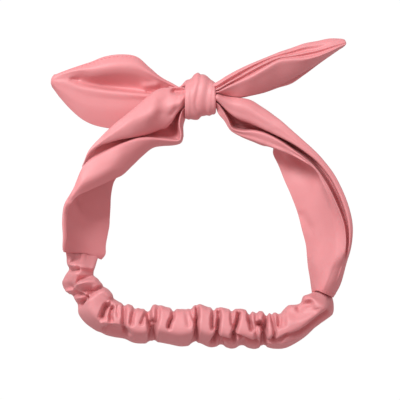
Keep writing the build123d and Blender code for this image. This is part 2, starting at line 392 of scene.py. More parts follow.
# ---- the left strap ------------------------------------------------------------------------------
# Each rib runs: flap edge, two on the flap, rim, two in the channel, under the lip, lip,
# two on the upper fold, crest, back, hidden lower edge.
LEFT_STRAP = [
    upright(-5, (-6, 15), (-5.5, 17), (-5, 19), (-4, 21), (-3, 20), (-2, 19), (-1, 20), (0, 22),
            (1.5, 23), (3, 22), (4, 19), (3, 14), (0, 9)),
    [(-8.8, -8.5, 12.5), (-9, -8.3, 15.5), (-9.7, -7.9, 19.5), (-10.7, -7.4, 23), (-10.6, -7, 18),
     (-10.4, -6.6, 13), (-10.3, -6.3, 14), (-10.5, -6, 23), (-10.6, -3, 27), (-10.6, 0.8, 27.5),
     (-10.5, 5.2, 20), (-10, 2, 10), (-9.5, -4, 5)],
    [(-9.4, -13, 11), (-9.8, -12.9, 14), (-11.1, -12.7, 18.3), (-12.9, -12.3, 21.5), (-13.6, -12, 15),
     (-14.4, -11.4, 7), (-15.2, -9.8, 7), (-14.8, -10.8, 20.5), (-14.3, -7.5, 25.5),
     (-13.5, -2.5, 26.5), (-13, 5.6, 19), (-12, 2, 8), (-11, -8, 3)],
    [(-10.9, -18.5, 10.5), (-11.3, -18.4, 13.5), (-12.1, -18.3, 17.8), (-13.6, -18, 21),
     (-14.6, -18, 13), (-16, -17.6, 5), (-18.6, -15, 5), (-18.2, -16.3, 19.5), (-18.2, -10.5, 25),
     (-17.3, -3.5, 26.5), (-16.5, 5.8, 18), (-15, -1, 8), (-12.5, -14, 2)],
    [(-10.8, -24.5, 14), (-11.1, -24.5, 16.5), (-11.7, -24.4, 19.4), (-12.5, -24, 21),
     (-13.8, -23.8, 13), (-16.5, -23, 8), (-21.5, -18, 7), (-21.5, -19.6, 18), (-21.8, -13, 24.5),
     (-21, -5, 26.5), (-20.5, 5.5, 17.5), (-19, -4, 8), (-14.5, -19, 1.8)],
    [(-12.3, -29, 13), (-12.6, -28.7, 15.3), (-13, -28.2, 18.5), (-13.6, -27.3, 21), (-15.2, -26.5, 13),
     (-18.5, -25.3, 9.5), (-25.2, -18.8, 8), (-25.2, -20.5, 18), (-25.8, -14.5, 25.5), (-25.3, -6, 29),
     (-24.5, 5.1, 17.5), (-24, -8, 8), (-18, -24, 1.8)],
    [(-17.5, -30.5, 11.5), (-17.6, -30.2, 14), (-17.8, -29.2, 18.3), (-18.5, -27, 21.2),
     (-19.8, -26, 14), (-23, -24.6, 11.5), (-29, -20.6, 9.5), (-29, -22.1, 18.5), (-29.8, -16.5, 26.5),
     (-29.3, -8, 30.5), (-28.5, 3.5, 19), (-28, -10, 8), (-22, -27, 1.8)],
    [(-24, -30.9, 11), (-24.2, -30.5, 14.5), (-24.7, -29, 19.5), (-25.5, -26.4, 22.5),
     (-26.5, -25.5, 16), (-29.5, -24.3, 14), (-33.3, -22, 12), (-33, -23.6, 20.5), (-33.8, -18, 28.5),
     (-33.5, -10, 31), (-32.5, 0.5, 20), (-33, -13, 8), (-27, -29.5, 1.8)],
    [(-30, -32.2, 14), (-30.5, -31.3, 18.4), (-31.3, -29, 22.9), (-32, -26, 25), (-33, -25, 19),
     (-35, -24.3, 17), (-38.3, -23.1, 15), (-38, -24.9, 23.5), (-38.5, -19.5, 30), (-38, -12, 31.5),
     (-36.5, -3, 22), (-38, -16, 8), (-32, -32, 1.8)],
    [(-36, -37, 17), (-36.8, -34.5, 21.6), (-37.8, -30.5, 26.1), (-38.8, -26.5, 27.5),
     (-39.6, -25.7, 22), (-41, -25, 20), (-43.8, -24.1, 18.5), (-43.5, -25.8, 27.5), (-44, -20.5, 32),
     (-43.5, -14, 32), (-42, -7.9, 24.5), (-43, -20, 9), (-37, -36.5, 1.8)],
    [(-42.5, -43.3, 19.5), (-43.5, -39, 24.9), (-44.8, -34, 28.7), (-46, -28.8, 29.5),
     (-46.6, -28.2, 26), (-47.6, -27.4, 22.5), (-49.6, -25.4, 21), (-49.6, -26.9, 29.6),
     (-49.8, -22.8, 33), (-49, -18, 32.5), (-47.5, -12.6, 26), (-48, -27, 9), (-42, -41, 1.8)],
    [(-48.5, -49, 23.5), (-50, -43.5, 29.4), (-51.5, -38, 32.3), (-52.9, -31.7, 31), (-53.4, -31, 28),
     (-54.2, -29.9, 25.5), (-55.9, -27.6, 24.5), (-55.9, -28.6, 31.8), (-56, -26, 34),
     (-55.3, -22.8, 33.5), (-54, -18.2, 28), (-54, -35, 10), (-48.5, -46, 1.5)],
    [(-55, -52, 27), (-57, -46.5, 33.6), (-58.8, -42, 34.2), (-60.4, -35.7, 32.3), (-60.8, -34.9, 30.3),
     (-61.5, -33.3, 28), (-62.7, -30.2, 27), (-62.7, -31, 33.8), (-62.6, -29.5, 35.5), (-62.2, -28, 35),
     (-61.2, -25.1, 31), (-61, -38, 11), (-54.2, -52.5, 1.2)],
    [(-62.5, -55.6, 30), (-64.5, -50.5, 35.8), (-66.5, -46, 35.9), (-68.2, -40.2, 33.4),
     (-68.7, -39.2, 32.4), (-68.8, -38.3, 31.6), (-68.9, -37.4, 31.8), (-69.2, -36.6, 34.6),
     (-69.5, -35.2, 36), (-69.4, -34.8, 35.5), (-69, -34, 33), (-67.5, -46, 11), (-56.2, -61, 1)],
    [(-70.3, -59.1, 32), (-72.1, -54, 37), (-73.6, -49.5, 36.2), (-74.2, -46.3, 34.6),
     (-74.1, -45.7, 34.4), (-73.9, -45.2, 34.2), (-73.6, -44.7, 34.1), (-73.4, -44.2, 34),
     (-73.3, -43.9, 33.7), (-73.2, -43.9, 33), (-73.1, -44.1, 31.5), (-72.5, -54, 12), (-56.6, -69, 1)],
    [(-76.1, -62, 34.3), (-77.4, -59.5, 36.3), (-78.3, -58, 35.8), (-78.8, -56.8, 35.6),
     (-78.8, -57, 35.2), (-78.6, -57.2, 34.2), (-78.4, -57.4, 33.1), (-78.2, -57.6, 32),
     (-78.1, -57.8, 31), (-78.1, -58, 29.6), (-77.9, -58.6, 26), (-76, -64, 12), (-57, -76, 1)],
    [(-81.3, -68.5, 34), (-82.2, -67.6, 35.4), (-83, -66.9, 36.2), (-83.6, -66.5, 36.3),
     (-84, -66.3, 35.6), (-84.2, -66.3, 34.3), (-84.2, -66.4, 32.8), (-84.1, -66.6, 31),
     (-83.8, -67, 29), (-83, -67.8, 26.5), (-81.5, -69.5, 22.5), (-72, -75, 10), (-57.2, -80, 1)],
    [(-82.9, -76.5, 34.2), (-83.8, -76.2, 35.3), (-84.7, -76, 36), (-85.4, -75.8, 36),
     (-85.7, -75.8, 35.2), (-85.8, -75.8, 33.8), (-85.7, -75.9, 32.2), (-85.5, -76, 30.5),
     (-85, -76.2, 28.3), (-84, -76.6, 25.5), (-82, -77.3, 21.5), (-72, -81, 9.5), (-58.1, -85, 1)],
    [(-82.8, -87.5, 34.4), (-83.7, -87.3, 35.3), (-84.5, -87, 35.9), (-85, -86.9, 35.8),
     (-85.3, -86.9, 35), (-85.4, -86.9, 33.6), (-85.3, -87, 32), (-85.1, -87.1, 30.2),
     (-84.6, -87.3, 28), (-83.6, -87.6, 25.2), (-81.6, -88.2, 21), (-72, -90.5, 10), (-59.5, -92.5, 1)],
    [(-83.6, -93, 33.8), (-84.4, -93, 34.6), (-85, -93, 35), (-85.4, -93, 34.8), (-85.6, -93, 34),
     (-85.6, -93, 32.6), (-85.5, -93.1, 31), (-85.2, -93.2, 29.2), (-84.6, -93.3, 27),
     (-83.5, -93.5, 24.2), (-81.4, -93.9, 20.2), (-72, -95.5, 9.8), (-59.7, -98, 1)],
    [(-84, -96.6, 32.5), (-84.4, -96.6, 33), (-84.7, -96.6, 33), (-84.9, -96.6, 32.6),
     (-85, -96.6, 31.8), (-84.9, -96.6, 30.5), (-84.6, -96.7, 29), (-84.1, -96.8, 27.4),
     (-83.3, -96.9, 25.4), (-82.1, -97, 22.8), (-80, -97.2, 19), (-72, -97.6, 10), (-62.3, -101.3, 1.2)],
]

# ---- the right strap -----------------------------------------------------------------------------
# Each rib runs: lower edge, two on the inner face, tuck, overhang, lower fold, rim, channel,
# under the lip, lip, two on the outer fold, crest, back, hidden back edge.
RIGHT_STRAP = [
    upright(5, (-4, 12), (-4.3, 14.5), (-4.6, 17), (-4.8, 18.5), (-5, 20), (-4.5, 22), (-3.8, 23.5),
            (-3.2, 21.5), (-2.8, 21), (-2.4, 23.5), (-1.5, 25), (-0.5, 25), (0.8, 22.5), (0, 16),
            (-2, 10)),
    [(9.5, -4.5, 10), (9.5, -5, 13), (9.5, -5.3, 16), (8.7, -5.6, 18.5), (8.5, -6, 21), (8.7, -5, 25),
     (9.5, -4, 27), (9.6, -3.6, 20), (9.6, -3.2, 20), (9.5, -2.9, 27), (9.5, -1.8, 29),
     (9.5, -0.3, 29.5), (9.5, 1.5, 26.5), (9.5, 2.6, 17), (9.5, -2, 9)],
    [(15, -7, 5), (14.3, -8.5, 7), (13.6, -9.6, 10), (11.8, -10.6, 14), (10.7, -10.9, 23.1),
     (11.2, -9, 24.3), (12.8, -7.4, 25), (13.4, -7, 15), (13.9, -6.2, 15), (13.3, -6.4, 25.5),
     (13.5, -4.5, 28), (13.9, -2, 28.5), (14.3, 0.1, 25), (14.6, 1.3, 15.5), (14.6, -5, 7)],
    [(20, -10, 2.5), (18.8, -12.5, 3.5), (17.4, -14.3, 5.5), (15.8, -15.3, 9.5), (14.4, -15.3, 21.3),
     (15.2, -14.6, 22.6), (16.6, -13.6, 23.5), (18, -13.3, 9.5), (19.7, -11, 9), (18.2, -11.1, 24),
     (18.3, -8, 27), (18.9, -4, 28), (19.6, -0.5, 23.5), (20.3, -2.5, 14), (20.8, -8, 6)],
    [(27, -13, 2), (25, -16.5, 2.5), (22.5, -19.8, 3.5), (20.3, -21.5, 7.5), (18.3, -21.3, 19.8),
     (18.6, -20.8, 21.3), (19.6, -19.6, 22.5), (21.6, -18, 7.5), (24.3, -14.3, 7), (23, -14.2, 24),
     (23.5, -10, 28), (24.3, -5, 29), (25.5, -1.1, 24), (26.5, -4, 14), (27, -11, 5.5)],
    [(34, -17, 2), (31.5, -20.5, 2.5), (28.5, -23.8, 3.5), (26.3, -25.4, 7), (24.4, -24.8, 20),
     (24.8, -23.4, 21.8), (25.6, -21.3, 23), (27.4, -19.6, 9), (30, -16.2, 8.5), (28.8, -16.2, 25),
     (29.5, -11.5, 29), (30.2, -6.5, 29.5), (31.2, -2.5, 23.5), (32.5, -7, 14), (33.5, -14, 5)],
    [(41, -22, 1.5), (38.5, -24.5, 2), (35.5, -27.2, 3), (33.3, -28.4, 7), (31.2, -27.4, 21.7),
     (31.4, -24.8, 23.8), (31.9, -21.3, 25), (33.3, -20.2, 12), (35.4, -18.4, 11.5),
     (34.6, -18.7, 26.5), (35.4, -14.8, 30), (36.2, -10.8, 30.5), (37.3, -6.3, 25), (38.8, -12, 14),
     (40, -19, 5)],
    [(46.5, -28, 1.5), (44, -29, 2), (41.3, -30.3, 3), (39.3, -30.8, 7), (37.3, -29.8, 23.4),
     (37.6, -26.7, 25.8), (38.2, -22.6, 27), (39.2, -21.8, 15), (41.2, -20.8, 14.5), (40.5, -21.5, 28),
     (41.5, -18.2, 31), (42.4, -14.8, 31.5), (43.5, -10.5, 26.5), (45, -17, 14), (46, -25, 5)],
    [(44.6, -34.8, 1.2), (45.4, -33.8, 2), (46.5, -32, 3), (46, -31, 8), (43.6, -31.9, 25),
     (43.9, -29.2, 27.1), (44.8, -25.4, 28.5), (45.6, -24.8, 17.5), (47.1, -23.4, 17),
     (46.2, -24.2, 29.5), (47.3, -21.2, 32), (48.4, -18.5, 32.3), (49.8, -15.4, 28), (51, -23, 5),
     (50, -32, 1.2)],
    [(48.2, -43, 3), (49.8, -40, 3.5), (51.5, -36.5, 4.3), (52.3, -33.5, 9), (50, -34.2, 26.6),
     (50.3, -32, 28.3), (50.9, -28.9, 29.5), (51.9, -27.9, 15), (53.2, -26.6, 14.5),
     (52.4, -27.3, 30.8), (53.8, -25.3, 33), (55.2, -23.7, 33), (57, -21.9, 29), (58, -30, 5),
     (54, -40, 1.2)],
    [(52.2, -53, 4.5), (54.2, -47.5, 4.8), (57, -41.5, 4.2), (59.5, -36.3, 6), (56.8, -37, 28.2),
     (57.1, -35.5, 29.8), (57.3, -33.4, 31), (58.3, -32.4, 17.5), (59.8, -30.9, 17), (59.1, -31.2, 32),
     (60.2, -29.9, 34), (61.4, -28.6, 33.8), (63, -27.3, 29.5), (64, -36, 5), (58, -47, 1.2)],
    [(56.2, -62, 6), (59.2, -54, 7), (63, -46.5, 7), (66.2, -40.8, 9.5), (63.9, -40.9, 30.1),
     (64, -39.7, 31.5), (63.9, -38.3, 32.5), (65.4, -37, 20), (66.6, -35.8, 20), (65.9, -36, 32.8),
     (66.9, -35.2, 34.5), (68, -34.3, 34.3), (69.6, -33.3, 30), (70.5, -43, 5), (63, -56, 1.2)],
    [(60.2, -73, 6), (64.2, -63, 9), (68.8, -53, 12), (72, -46.8, 16.5), (70.7, -45.9, 31.5),
     (70.5, -45.1, 32.5), (70, -44.1, 33.5), (71.4, -42.7, 22), (72.8, -41.2, 22), (72.2, -41.4, 33),
     (73.2, -41.1, 35), (74.4, -40.7, 34.8), (76, -40.2, 30.5), (76.5, -50, 5), (68, -65, 1.2)],
    [(62.7, -83, 6), (67, -74, 11), (72, -64.5, 16.5), (75.2, -58.8, 22), (76.1, -56.8, 32.1),
     (77, -55.2, 33), (77.5, -53.9, 34), (79.1, -52.7, 23), (80.6, -51.8, 23), (80.5, -51.8, 33.5),
     (81.3, -51.4, 35.3), (82.2, -51, 34.9), (83.4, -50.6, 31), (82.5, -61, 5), (72.5, -75, 1.2)],
    [(65, -92, 6), (69.5, -85.5, 11.5), (75.5, -78.5, 17.5), (80, -73.5, 24.5), (81.8, -71.1, 28),
     (83.4, -69.3, 31.3), (84.3, -67.8, 34.5), (85.8, -67, 23.5), (87.4, -66.3, 23.5),
     (87.3, -66.3, 33.8), (88.2, -65.9, 35.3), (89.1, -65.7, 34.9), (90.2, -65.5, 31.5), (88, -75, 9),
     (76, -84, 2)],
    [(65.7, -99, 6), (70.5, -94.5, 12), (77, -90, 18.5), (82.8, -86, 26), (85.5, -84, 29),
     (87.5, -82.3, 31.8), (88.7, -80.9, 34.5), (89.6, -80.5, 29), (91, -80.1, 29), (90.9, -80, 33.4),
     (91.7, -79.8, 35), (92.6, -79.6, 34.3), (93.6, -79.5, 31), (90.5, -86, 9), (77.5, -93, 2)],
    [(66.4, -106, 6), (70, -104.3, 14), (75.5, -102, 21), (81.5, -99.5, 28.5), (85, -97.8, 30.6),
     (87.6, -96.3, 31.8), (89.4, -94.9, 32.5), (89.8, -94.5, 29.5), (90.9, -93.9, 29.5),
     (91.1, -93.6, 32), (91.7, -93.2, 33.2), (92.3, -92.9, 32), (93, -92.6, 29), (90.5, -97.5, 9),
     (78.5, -101, 2)],
    [(67.6, -113, 4.5), (70.5, -112, 14.5), (74.5, -110.6, 23.2), (79, -109, 27), (82, -107.8, 27.2),
     (84.3, -107, 26.8), (86.3, -106.3, 26), (87, -106, 26.2), (87.6, -105.7, 25.5),
     (88.2, -105.4, 24.6), (88.8, -105.2, 23.4), (89.4, -104.9, 21.8), (89.9, -104.6, 19.5),
     (88, -107, 10), (78.5, -109.5, 5.4)],
    [(68.4, -118.5, 3), (70, -118, 13.8), (72.5, -117.5, 21.9), (76, -117, 26), (78.5, -116.9, 26),
     (80.7, -116.8, 25), (82.7, -116.8, 23.3), (83.5, -116.8, 22.4), (84.1, -116.8, 21.6),
     (84.7, -116.8, 20.7), (85.3, -116.8, 19.5), (86, -116.7, 17.8), (86.6, -116.6, 15.5),
     (85, -117, 8), (77, -117.5, 4.2)],
    [(69, -122.5, 3), (70.2, -121.2, 13), (71.8, -120.4, 21.5), (74.5, -121.4, 24.5),
     (76.6, -122.4, 24), (78.2, -123.1, 22.8), (79.6, -123.8, 21), (80.2, -124.1, 20),
     (80.6, -124.3, 19.2), (81, -124.5, 18.3), (81.4, -124.7, 17.2), (81.8, -124.9, 15.8),
     (82, -125, 14), (80.8, -124.5, 8), (74.5, -122.5, 4)],
]

# ---- the tails -----------------------------------------------------------------------------------
# Each rib runs from the lower edge over the ridge and the valley beside it to the upper edge.
LEFT_TAIL = [
    upright(-5, (0, 5), (1, 6), (2, 7), (3, 8), (3.8, 9), (4.2, 8.5), (4.8, 8.5), (5.5, 9), (6.3, 8.5)),
    upright(-12, (-3, 3), (-1.5, 5.5), (0, 7.5), (1.5, 9), (2.6, 9.5), (3.2, 8), (4, 9), (4.9, 10),
            (5.6, 8.5)),
    upright(-18, (-8, 6), (-5.5, 7.7), (-3, 9.1), (-0.5, 10.1), (1.8, 9.8), (3.6, 7), (5.6, 9),
            (7.2, 10.5), (8.6, 9)),
    upright(-25, (-12.5, 5.8), (-9, 7.7), (-5.5, 9.3), (-2, 10.4), (1.2, 11), (3.6, 6), (8.6, 10),
            (10.6, 12), (12.4, 9)),
    upright(-32, (-16, 5.6), (-11.5, 8), (-7, 9.9), (-2.5, 10.7), (1.1, 11.5), (4, 5), (11.5, 11.5),
            (15.3, 13.5), (18.3, 9)),
    upright(-40, (-19, 5.5), (-13.5, 8), (-8, 9.9), (-2.5, 10.7), (1.8, 11.5), (5, 3.4), (14.5, 13),
            (20, 14.5), (25, 9)),
    upright(-50, (-20.5, 5.5), (-14.5, 8), (-8.5, 9.9), (-2.5, 10.7), (2.7, 11.5), (6, 2.6),
            (15.2, 13.5), (21, 15), (26.4, 9.5)),
    upright(-60, (-19.4, 5.5), (-13.5, 8), (-7.5, 9.9), (-1.5, 10.7), (3.7, 11.5), (7, 2.8), (14, 13),
            (19.3, 15), (25, 9.5)),
    upright(-68, (-17.3, 5.6), (-11.8, 8), (-6.3, 9.9), (-0.5, 10.7), (4.9, 11.5), (8, 5), (13.2, 12),
            (17.5, 14), (21.9, 9.5)),
    upright(-75, (-13.5, 5.8), (-9, 8), (-4, 9.9), (1.5, 10.7), (5.8, 11.5), (9.8, 7.8), (14.5, 11.5),
            (17, 12.5), (19.6, 9.5)),
    upright(-82, (-7.3, 6), (-4, 8), (0, 9.9), (4, 10.7), (8, 11.5), (10.8, 10.5), (13.2, 11),
            (15.3, 11.5), (17.2, 9.5)),
    upright(-88, (-0.5, 6.6), (1.5, 8.2), (4, 9.9), (6.5, 10.7), (9, 11.3), (10.7, 11), (12.2, 11.2),
            (13.6, 11), (14.9, 9.3)),
    [(-91.4, 4.1, 6.4), (-91.6, 5.2, 7.7), (-91.8, 6.5, 9.1), (-92, 7.8, 9.9), (-92, 9, 10.3),
     (-92, 10.2, 10.5), (-91.9, 11.4, 10.5), (-91.7, 12.5, 10), (-91.3, 13.5, 8.9)],
    [(-92.7, 5.9, 6.8), (-93, 6.6, 7.8), (-93.3, 7.4, 8.7), (-93.5, 8.2, 9.2), (-93.5, 9, 9.6),
     (-93.4, 9.9, 9.7), (-93.3, 10.8, 9.5), (-93, 11.6, 9), (-92.6, 12.4, 8)],
]

# Each rib runs: front edge, two on the front face, ridge, crease, band, crease, band, upper fold,
# rear face, rear edge.
RIGHT_TAIL = [
    upright(5, (1, 21), (1.4, 22), (1.8, 23.5), (2.5, 25), (3, 23.5), (3.8, 25), (4.6, 23.5), (5.6, 25),
            (6.8, 23), (4, 18), (2, 17)),
    upright(10, (1.4, 23.5), (1.6, 25.2), (1.9, 27), (2.5, 28.5), (3.3, 26), (4.1, 28.5), (5, 25.5),
            (7, 28), (8.9, 24.5), (5.2, 20.3), (1.7, 20)),
    upright(16, (0.2, 23), (1.6, 25), (3.2, 27.5), (5.2, 29.5), (6.5, 26.5), (7.5, 29), (8.6, 25.5),
            (10.7, 28), (12.6, 23.5), (6.8, 19.7), (-0.2, 20)),
    upright(24, (-0.6, 22.5), (2, 24.7), (5, 27), (8.8, 29.5), (10.4, 26.3), (11.9, 28.7), (13.4, 25),
            (15.3, 27.5), (16.8, 22.5), (9.5, 19), (-1, 19.5)),
    upright(32, (0.7, 20.5), (4, 23.7), (8, 27.5), (12.5, 31), (14.6, 27), (16.4, 29.5), (18, 25.5),
            (19.3, 27.5), (20.3, 22.5), (12, 19), (0.5, 18.5)),
    upright(40, (2.8, 19), (7, 23.7), (12, 28), (17, 31.5), (19, 27.5), (20.4, 29.7), (21.8, 26),
            (22.8, 27.3), (23.5, 22.5), (15, 18.5), (2.5, 17)),
    upright(48, (6.2, 18.5), (10.5, 23.2), (16, 28), (21.2, 31.5), (22.8, 28), (23.6, 29.3), (24.5, 26),
            (25.8, 27), (26.8, 22.5), (18, 18), (5.4, 16)),
    upright(56, (10, 19), (13.5, 23.7), (18, 28), (22.4, 31.3), (23.8, 27.8), (25, 29), (26.3, 25),
            (28, 26.3), (29.6, 22.5), (20.5, 18), (7.9, 16)),
    upright(64, (14.7, 20.5), (17, 24.2), (20, 28), (22.9, 31), (24.9, 27.3), (26.6, 29), (28.2, 25),
            (30.6, 26.3), (32.5, 22.5), (24.5, 19), (13.2, 17.5)),
    upright(72, (19.5, 20.4), (21, 24), (22.8, 27.8), (24.7, 30.8), (26.4, 27.3), (28.3, 28.8),
            (29.5, 26.3), (32, 26.5), (34.1, 22.5), (27.5, 18.9), (19.2, 18.2)),
    upright(79, (24.3, 20.8), (25.1, 23.9), (26.1, 27.5), (27.3, 30.2), (28.7, 27.5), (30.3, 28.5),
            (31.8, 27.3), (33.8, 26.3), (35.6, 23), (30.5, 19.5), (24.2, 19)),
    upright(85, (28.3, 21.7), (28.8, 23.7), (29.4, 26.8), (30.1, 29), (31, 27.3), (32, 27.8), (33, 27),
            (34.3, 26.2), (35.7, 23.5), (32.8, 20.4), (28.3, 20.2)),
    [(88.3, 30.4, 22), (88.7, 30.8, 23.5), (89.1, 31.3, 25.5), (89.4, 31.9, 27.3), (89.5, 32.5, 26.5),
     (89.4, 33.1, 26.6), (89.3, 33.7, 26.2), (89.1, 34.4, 25.6), (88.7, 35.1, 24), (88.5, 33.5, 21.5),
     (88.3, 30.8, 21.2)],
    [(89.6, 32.2, 23.6), (89.7, 32.3, 23.9), (89.8, 32.5, 24.3), (89.9, 32.7, 24.7), (89.9, 32.9, 24.7),
     (89.9, 33, 24.6), (89.8, 33.1, 24.5), (89.7, 33.2, 24.2), (89.6, 33.2, 23.9), (89.6, 32.9, 23.5),
     (89.6, 32.4, 23.4)],
]

# ---- the knot ------------------------------------------------------------------------------------
# The knot's outline from above: its back edge and its front edge.
KNOT_TOP = [(-10, 8.6), (-8.5, 10.4), (-6.2, 11.2), (-4.4, 13.6), (-1.6, 15), (2, 13.6), (5.5, 12),
            (9.4, 8.2)]
KNOT_FOOT = [(-10, -14.5), (-2.2, -14.7), (0.8, -13), (4, -12.9), (7, -11.6), (9.4, -11)]
# Across the wrap, from one rolled side to the other: (x, how far it is rolled in).
KNOT_SIDES = [(-6.5, 5.5), (-9.2, 3.6), (-10, 1.6), (-9.5, 0.3), (-8, 0), (-4, 0), (0, 0), (4, 0), (7.4, 0),
              (8.7, 0.3), (9.3, 1.6), (8.6, 3.6), (6, 5.5)]
# The pleats between its turns: a line in plan, then depth, and width on its left and right.
KNOT_PLEATS = [
    ([(-7.6, 11), (-8.3, 5), (-8.8, 0), (-9, -4), (-8.8, -16)], 0.5, 0.5, 0.9),
    ([(-5.8, 12), (-6.2, 6), (-6.8, 0), (-6.6, -6), (-6.6, -16)], 0.45, 1.2, 0.6),
    ([(-0.5, 16), (-1.2, 9), (-2.3, 3), (-3.3, -2), (-3.8, -5), (-3, -9), (-1, -12), (0.8, -15)],
     1.1, 1.4, 0.5),
    ([(6.4, 13), (5, 7), (4, 2), (3.3, -3), (3.2, -8), (3.6, -15)], 1.3, 1.3, 1.9),
    ([(7.8, 10), (7, 4), (6.4, -3), (6.8, -13)], 0.4, 0.8, 0.8),
]
DEEPEST_PLEAT = 4
KNOT_SQUARENESS = 0.93             # 1 makes the turn's section an ellipse, less makes it squarer
KNOT_FROM, KNOT_TO = -0.56, 1.52   # where the turn of cloth starts and ends, in half circles
KNOT_COLUMNS, KNOT_ROWS = 64, 150
KNOT_FOOT_ROOM, KNOT_TOP_ROOM = 0.6, 0.4     # how far it keeps inside the CAD knot's height
# The loop of the tie that enters the knot, each rib from its front over the top to its back.
KNOT_LOOP = [
    upright(-20, (4.5, 10), (5.2, 12), (5.9, 13), (6.4, 12), (6.8, 10)),
    upright(-15, (3.6, 9), (4.6, 13), (5.2, 15), (5.5, 14), (5.4, 10)),
    upright(-12, (3.8, 9), (4.8, 15), (6, 18), (7, 16), (6.8, 10)),
    upright(-9.5, (3.6, 10), (5.5, 18), (8, 21), (9.8, 18), (9.6, 11)),
    upright(-6, (3, 11), (6, 19), (8.6, 22.5), (10.5, 19), (10.3, 12)),
    upright(-3, (3, 12), (5.5, 18), (7.5, 21), (9, 18), (9, 12)),
]


def knot_grid():
    """The turn of cloth round the knot: from under it up the back, over the top, and under again."""
    low = (knot_low[2] / MM - ORIGIN[2] / MM) + KNOT_FOOT_ROOM
    high = (knot_high[2] / MM - ORIGIN[2] / MM) - KNOT_TOP_ROOM
    across = through(KNOT_SIDES, np.linspace(0, len(KNOT_SIDES) - 1, KNOT_COLUMNS))
    x, inset = across[:, 0], across[:, 1]
    back = np.interp(x, *np.transpose(KNOT_TOP))
    front = np.interp(x, *np.transpose(KNOT_FOOT))
    turn = np.linspace(KNOT_FROM * math.pi, KNOT_TO * math.pi, KNOT_ROWS)[:, None]
    wide = (back - front) / 2 - inset
    tall = (high - low) / 2 - inset
    y = (back + front) / 2 + wide * np.sign(np.cos(turn)) * np.abs(np.cos(turn)) ** KNOT_SQUARENESS
    z = (high + low) / 2 + tall * np.sign(np.sin(turn)) * np.abs(np.sin(turn)) ** KNOT_SQUARENESS
    grid = np.stack([np.broadcast_to(x, y.shape), y, z], axis=2)
    centres = np.stack([grid[..., 0], np.zeros_like(y), np.full_like(y, (high + low) / 2)], axis=2)
    return smoothed(drawn_in(grid, KNOT_PLEATS, centres, DEEPEST_PLEAT), 1)


# ---- the casing ----------------------------------------------------------------------------------
# Where the casing's inner and outer sides run, station by station, from the left hem to the right.
CASING_INNER = [
    (-63, -101), (-64, -104.5), (-64.6, -108.5), (-64, -112), (-62.8, -115), (-60.5, -117.8),
    (-57.5, -119.8), (-55.3, -122.5), (-54.6, -124.6), (-54, -125.6), (-53, -126.2), (-51.3, -127.2),
    (-49, -128.3), (-46, -128.5), (-41, -130.4), (-36, -131.8), (-28, -129), (-21, -130.8), (-13, -132),
    (-7.5, -131), (-1.5, -128.8), (5, -130.8), (12, -130.8), (18, -132), (25, -131.8), (31.5, -133.5),
    (37.5, -133.2), (44.5, -134.2), (49, -132.7), (53.5, -129.7), (58, -129.2), (61.6, -127.5),
    (63.5, -124), (66.5, -122.9), (69.2, -122.4), (69.8, -121.6),
]
CASING_OUTER = [
    (-84, -97), (-84, -102), (-82.6, -107), (-85.5, -112), (-87.3, -116.3), (-84.8, -121.5),
    (-79.8, -124.5), (-76.6, -129.5), (-76, -135), (-72, -140.5), (-66.5, -144.6), (-61, -147.5),
    (-54, -149.4), (-47.5, -150.5), (-41.5, -153), (-35, -153.4), (-27.5, -152.6), (-20, -153.8),
    (-13, -155.2), (-7, -154.7), (-1.5, -153), (5.5, -155.7), (12.5, -155), (19, -156.6),
    (25.5, -155.4), (33, -156.8), (39, -155.4), (45, -156.6), (52, -156.3), (59, -153), (65.5, -148.5),
    (71.5, -142.8), (77, -139), (82, -135), (84.2, -129.8), (82, -125.4),
]
# The section of the filled tube: (share of the way from the inner side to the outer side, height).
CASING_SECTION = [
    (0, 16), (0.02, 25), (0.1, 30.5), (0.3, 33.4), (0.52, 34.8), (0.68, 33.6), (0.82, 28), (0.94, 20.5),
    (1, 14), (0.97, 7.5), (0.86, 3), (0.6, 0.8), (0.3, 0.8), (0.08, 3.4), (0.01, 9),
]
